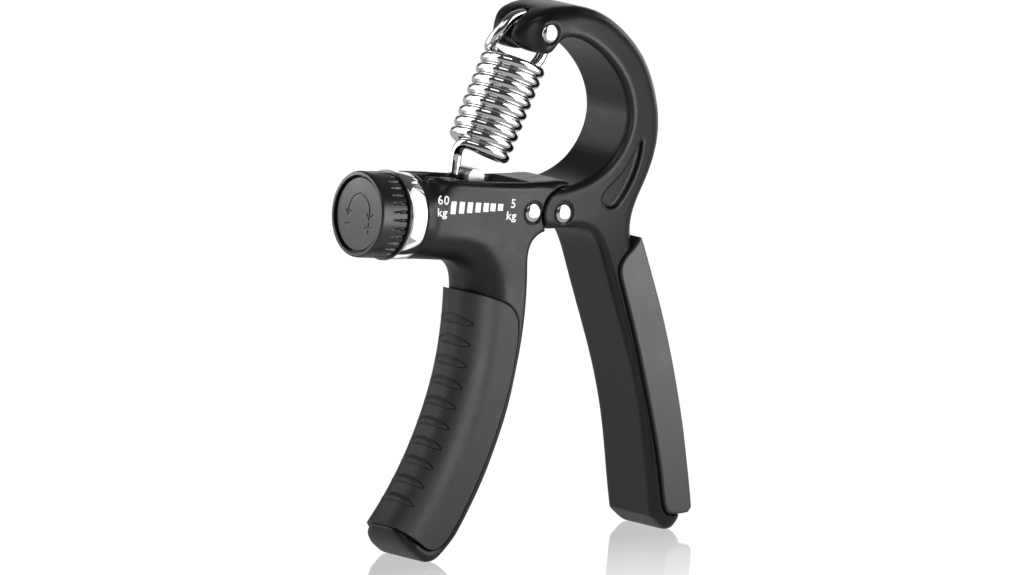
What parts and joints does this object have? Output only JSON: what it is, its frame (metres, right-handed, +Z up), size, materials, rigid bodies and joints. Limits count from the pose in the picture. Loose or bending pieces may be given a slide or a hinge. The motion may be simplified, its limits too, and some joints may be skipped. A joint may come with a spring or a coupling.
{
  "type": "adjustable hand grip strengthener",
  "caption": "Spring-loaded hand exerciser: two pivoted handles with soft grips, an extension spring, and a knob that slides the spring's hook along a barrel to set resistance.",
  "frame": {"origin": "centre of the overall box in X and Y, on the floor plane that both handle ends stand on", "axes": "+Z up; X runs from the knob (-X) to the rear handle (+X) in the plane in which the handles swing; Y is the hinge axis, across the width"},
  "size_m": [0.1084, 0.0252, 0.1514],
  "materials": {
    "hard_plastic": "satin black moulded nylon with a fine texture and glossier rounded edges",
    "soft_grip": "matte dark grey soft moulded grip",
    "chrome": "polished chrome trim ring",
    "bearing_brass": "turned brass bearing bush",
    "knob_plastic": "satin black moulded knob with fluted side",
    "satin_disc": "satin dark grey face plate with engraved turn arrow",
    "washer_plastic": "natural acetal washer",
    "zinc": "bright plated die-cast metal",
    "screw_steel": "zinc plated steel thread",
    "rivet_chrome": "domed bright plated rivet head",
    "spring_chrome": "bright chromed spring wire"
  },
  "bodies": {
    "rear": {"rear_handle": "hard_plastic", "rear_grip_pad": "soft_grip", "hinge_pin": "rivet_chrome", "hinge_pin_cap": "rivet_chrome", "hinge_washers": "washer_plastic", "spring_pin": "rivet_chrome", "spring_pin_cap": "rivet_chrome"},
    "front": {"front_handle": "hard_plastic", "front_grip": "soft_grip", "collar_ring": "chrome", "front_bush": "bearing_brass", "thrust_block": "zinc", "block_pin": "rivet_chrome", "block_pin_cap": "rivet_chrome"},
    "adjuster": {"knob": "knob_plastic", "knob_face_disc": "satin_disc", "adjust_screw": "screw_steel", "thrust_washer": "washer_plastic"},
    "nut": {"slider_nut": "zinc"},
    "spring": {"tension_spring": "spring_chrome"}
  },
  "joints": [
    {"name": "squeeze", "type": "hinge", "parent": "rear", "child": "front", "pos_m": [0.01036, 0, 0.0934], "axis": [0, -1, 0], "range_deg": [0, 36], "stiffness_Nm_per_rad": 3, "springref_deg": -4.58, "deforming": ["tension_spring"]},
    {"name": "knob_turn", "type": "hinge", "parent": "front", "child": "adjuster", "pos_m": [-0.04758, 0, 0.0976], "axis": [0.9914, 0, -0.1305], "range_deg": [0, 1800]},
    {"name": "nut_slide", "type": "slide", "parent": "front", "child": "nut", "axis": [-0.9914, 0, 0.1305], "range_m": [0, 0.0125], "deforming": ["tension_spring"]},
    {"name": "spring_swing", "type": "hinge", "parent": "rear", "child": "spring", "pos_m": [0.00577, 0, 0.14433], "axis": [0, -1, 0], "range_deg": [-2, 8], "deforming": ["tension_spring"]}
  ],
  "couplings": [
    {"joint": "knob_turn", "follows": "nut_slide", "rad_per_m": 2513.3},
    {"joint": "spring_swing", "follows": "squeeze", "ratio": 0.1633}
  ]
}
